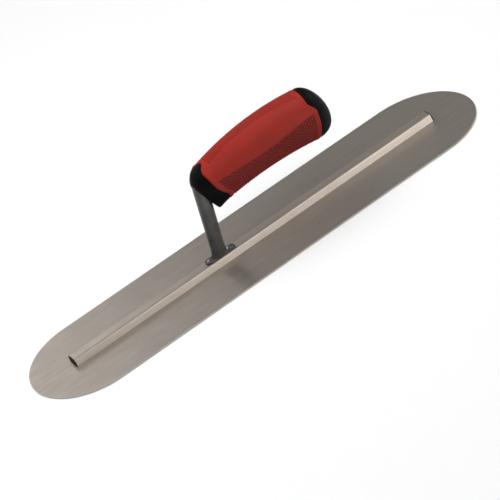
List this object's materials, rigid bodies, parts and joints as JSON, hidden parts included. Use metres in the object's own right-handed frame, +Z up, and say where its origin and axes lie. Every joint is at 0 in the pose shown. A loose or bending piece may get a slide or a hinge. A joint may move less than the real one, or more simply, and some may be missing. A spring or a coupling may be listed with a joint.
{
  "type": "finishing trowel",
  "caption": "Finishing trowel: a thin round-ended steel blade on a slotted aluminium rail, with a cast post and an arched soft grip.",
  "frame": {"origin": "under the middle of the blade, on the plane that the blade rests on", "axes": "+X along the blade towards the back of the grip, +Y across the blade, +Z up"},
  "size_m": [0.4064, 0.1016, 0.0897],
  "materials": {
    "blade_steel": "fine lengthwise grain, satin",
    "stud_steel": "ground flush",
    "rail_aluminium": "extruded, satin",
    "plug_plastic": "moulded, matt",
    "post_coating": "cast, dark grey coat, satin",
    "fastener_steel": "zinc plated",
    "collar_plastic": "moulded, fine texture",
    "core_plastic": "moulded",
    "sleeve_rubber": "soft, moulded, fine dots"
  },
  "bodies": {
    "root": {"blade": "blade_steel", "blade_studs": "stud_steel", "rail": "rail_aluminium", "rail_plugs": "plug_plastic", "post": "post_coating", "foot_screws": "fastener_steel", "foot_nuts": "fastener_steel", "front_collar": "collar_plastic", "handle_core": "core_plastic", "grip_sleeve": "sleeve_rubber", "handle_bolt": "fastener_steel", "bolt_washer": "fastener_steel", "lock_washer": "fastener_steel", "end_cap": "collar_plastic"}
  },
  "joints": []
}
